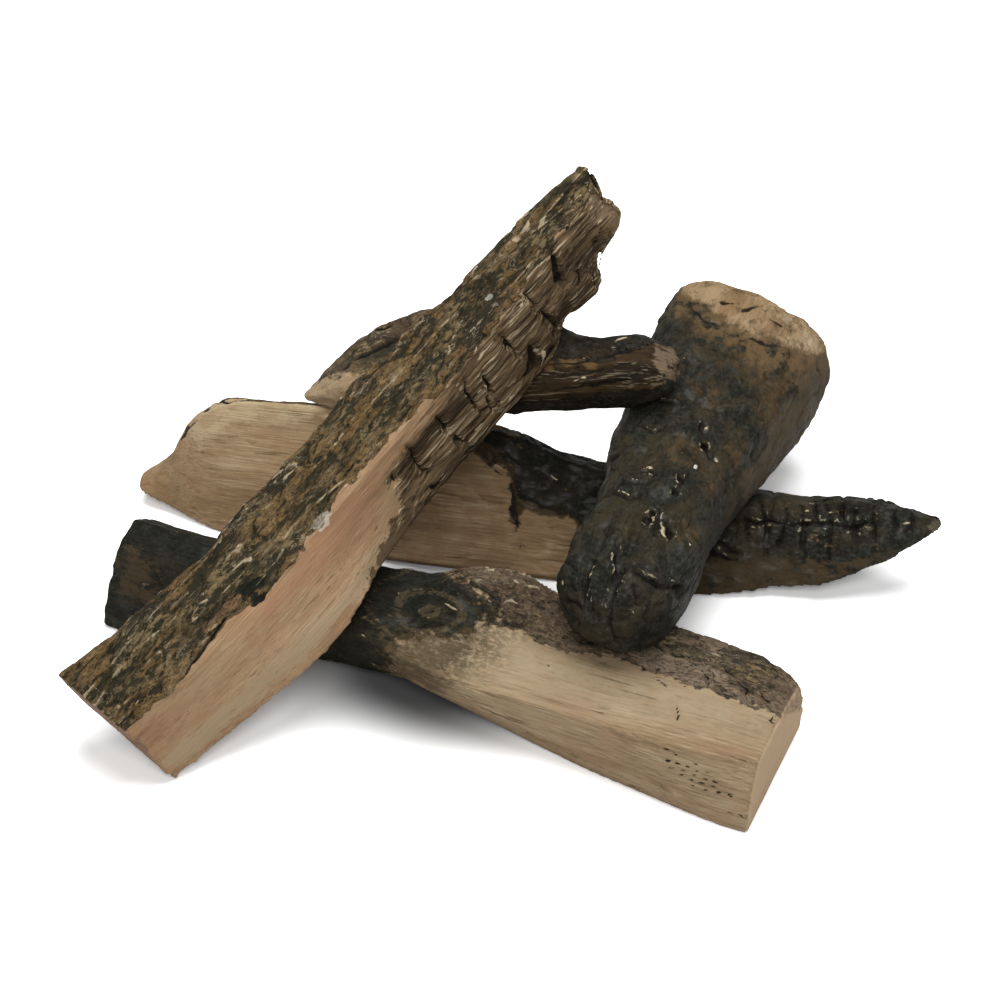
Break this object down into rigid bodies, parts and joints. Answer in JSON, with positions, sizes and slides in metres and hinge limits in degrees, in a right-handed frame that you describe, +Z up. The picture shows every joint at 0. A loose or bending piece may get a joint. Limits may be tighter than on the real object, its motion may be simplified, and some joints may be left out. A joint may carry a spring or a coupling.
{
  "type": "ceramic log set",
  "caption": "Cast ceramic fire logs stacked crosswise: split logs on the floor carry a thick charred one, a short one and a long leaning one with a jagged broken end.",
  "frame": {"origin": "middle of the stack's base box, on the floor", "axes": "+X to the right along the stack, +Y to the back, +Z up"},
  "size_m": [0.488, 0.3514, 0.2217],
  "materials": {
    "front_log": "matt painted, split wood with a black left end",
    "back_log": "matt painted, split wood with a black right end",
    "cross_log": "satin charred black with brown stains",
    "small_log": "matt painted brown and black",
    "top_log": "matt painted bark over pinkish split wood"
  },
  "bodies": {
    "front_log": {"front_log": "front_log"},
    "back_log": {"back_log": "back_log"},
    "cross_log": {"cross_log": "cross_log"},
    "small_log": {"small_log": "small_log"},
    "top_log": {"top_log": "top_log"}
  },
  "joints": [
    {"name": "back_lift", "type": "slide", "parent": "front_log", "child": "back_log", "axis": [0, 0, 1], "range_m": [0, 0.16]},
    {"name": "cross_lift", "type": "slide", "parent": "back_log", "child": "cross_log", "axis": [0, 0, 1], "range_m": [0, 0.16]},
    {"name": "small_lift", "type": "slide", "parent": "cross_log", "child": "small_log", "axis": [0, 0, 1], "range_m": [0, 0.16]},
    {"name": "top_lift", "type": "slide", "parent": "small_log", "child": "top_log", "axis": [0, 0, 1], "range_m": [0, 0.16]}
  ]
}
